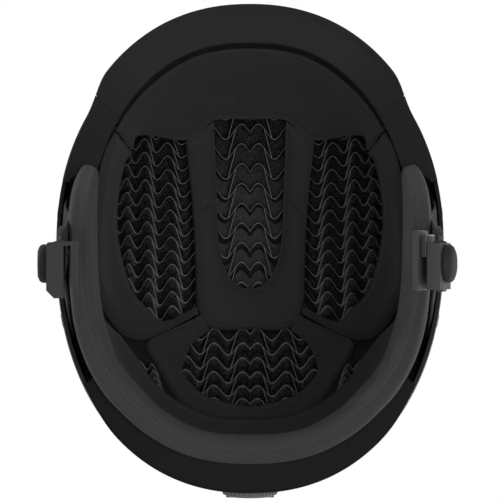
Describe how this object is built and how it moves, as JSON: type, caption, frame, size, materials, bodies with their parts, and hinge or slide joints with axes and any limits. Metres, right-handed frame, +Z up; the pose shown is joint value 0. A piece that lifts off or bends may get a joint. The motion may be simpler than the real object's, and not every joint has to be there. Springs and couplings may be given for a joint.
{
  "type": "ski helmet",
  "caption": "Brimmed ski helmet with a hard shell, foam liner, wavy-cell inserts, soft pads, ear pads, neck roll, chin strap with magnetic side buckle, rear fit dial and goggle clip.",
  "frame": {"origin": "on the head's middle line, level with the flat underside of the rear rim", "axes": "+Z up towards the crown, +Y towards the back of the head, +X to the wearer's left"},
  "size_m": [0.2266, 0.2966, 0.2882],
  "materials": {
    "shell": "matt moulded shell",
    "foam": "beaded foam",
    "cells": "satin folded polymer",
    "liner": "brushed liner cloth",
    "knit": "fine knit",
    "webbing": "woven webbing",
    "buckle": "satin moulding",
    "dial": "matt soft-touch",
    "fittings": "satin moulding",
    "steel": "plain"
  },
  "bodies": {
    "helmet": {"outer_shell": "shell", "foam_liner": "foam", "cell_panel_front": "cells", "cell_panel_rear": "cells", "cell_panel_left": "cells", "cell_panel_right": "cells", "cell_panel_nape_left": "cells", "cell_panel_nape_right": "cells", "brim": "shell", "rear_trim": "shell", "temple_trim_left": "shell", "temple_trim_right": "shell", "forehead_pad": "liner", "crown_pad": "liner", "rear_pad": "liner", "nape_pad": "liner", "side_pad_left": "liner", "side_pad_right": "liner", "ear_pad_left": "knit", "ear_pad_right": "knit", "neck_roll": "knit", "dial_housing": "fittings", "housing_cover": "fittings", "housing_screw_left": "steel", "housing_screw_right": "steel", "strap_rivet_left_front": "fittings", "strap_rivet_left_rear": "fittings", "strap_rivet_right_front": "fittings", "strap_rivet_right_rear": "fittings", "strap_left_front": "webbing", "strap_left_rear": "webbing", "strap_right_front": "webbing", "strap_right_rear": "webbing", "goggle_clip_base": "fittings", "goggle_clip_pin": "steel"},
    "dial": {"fit_dial": "dial", "dial_pinion": "fittings", "dial_screw": "fittings"},
    "band_left": {"fit_band_left": "fittings"},
    "band_right": {"fit_band_right": "fittings"},
    "strap_left": {"chin_strap_left": "webbing", "strap_keeper_left": "webbing"},
    "strap_right": {"chin_strap_right": "webbing", "strap_keeper_right": "webbing"},
    "buckle_left": {"buckle_socket": "buckle", "socket_puck": "buckle", "socket_magnet": "steel"},
    "buckle_right": {"buckle_plug": "buckle", "plug_puck": "buckle", "plug_magnet": "steel"},
    "latch": {"buckle_latch": "buckle"},
    "clip_lever": {"goggle_lever": "fittings"}
  },
  "joints": [
    {"name": "dial_turn", "type": "hinge", "parent": "helmet", "child": "dial", "pos_m": [0, 0.1364, 0.028], "axis": [0, -1, 0], "range_deg": [0, 105]},
    {"name": "band_left_slide", "type": "slide", "parent": "helmet", "child": "band_left", "axis": [1, 0, 0], "range_m": [0, 0.006]},
    {"name": "band_right_slide", "type": "slide", "parent": "helmet", "child": "band_right", "axis": [-1, 0, 0], "range_m": [0, 0.006]},
    {"name": "strap_left_swing", "type": "hinge", "parent": "helmet", "child": "strap_left", "pos_m": [-0.102, -0.003, -0.054], "axis": [0, -1, 0], "range_deg": [-20, 45]},
    {"name": "strap_right_swing", "type": "hinge", "parent": "helmet", "child": "strap_right", "pos_m": [0.102, -0.003, -0.054], "axis": [0, 1, 0], "range_deg": [-20, 45]},
    {"name": "buckle_left_swing", "type": "hinge", "parent": "strap_left", "child": "buckle_left", "pos_m": [-0.1014, 0.009, -0.086], "axis": [0, -1, 0], "range_deg": [-50, 50]},
    {"name": "buckle_right_swing", "type": "hinge", "parent": "strap_right", "child": "buckle_right", "pos_m": [0.1014, 0.009, -0.086], "axis": [0, 1, 0], "range_deg": [-60, 35]},
    {"name": "latch_slide", "type": "slide", "parent": "buckle_right", "child": "latch", "axis": [0, 1, 0], "range_m": [0, 0.003], "stiffness_N_per_m": 200},
    {"name": "goggle_lever_hinge", "type": "hinge", "parent": "helmet", "child": "clip_lever", "pos_m": [0, 0.14773, 0.06], "axis": [-1, 0, 0], "range_deg": [0, 105]}
  ],
  "couplings": [
    {"joint": "band_left_slide", "follows": "dial_turn", "m_per_rad": 0.003},
    {"joint": "band_right_slide", "follows": "dial_turn", "m_per_rad": 0.003}
  ]
}
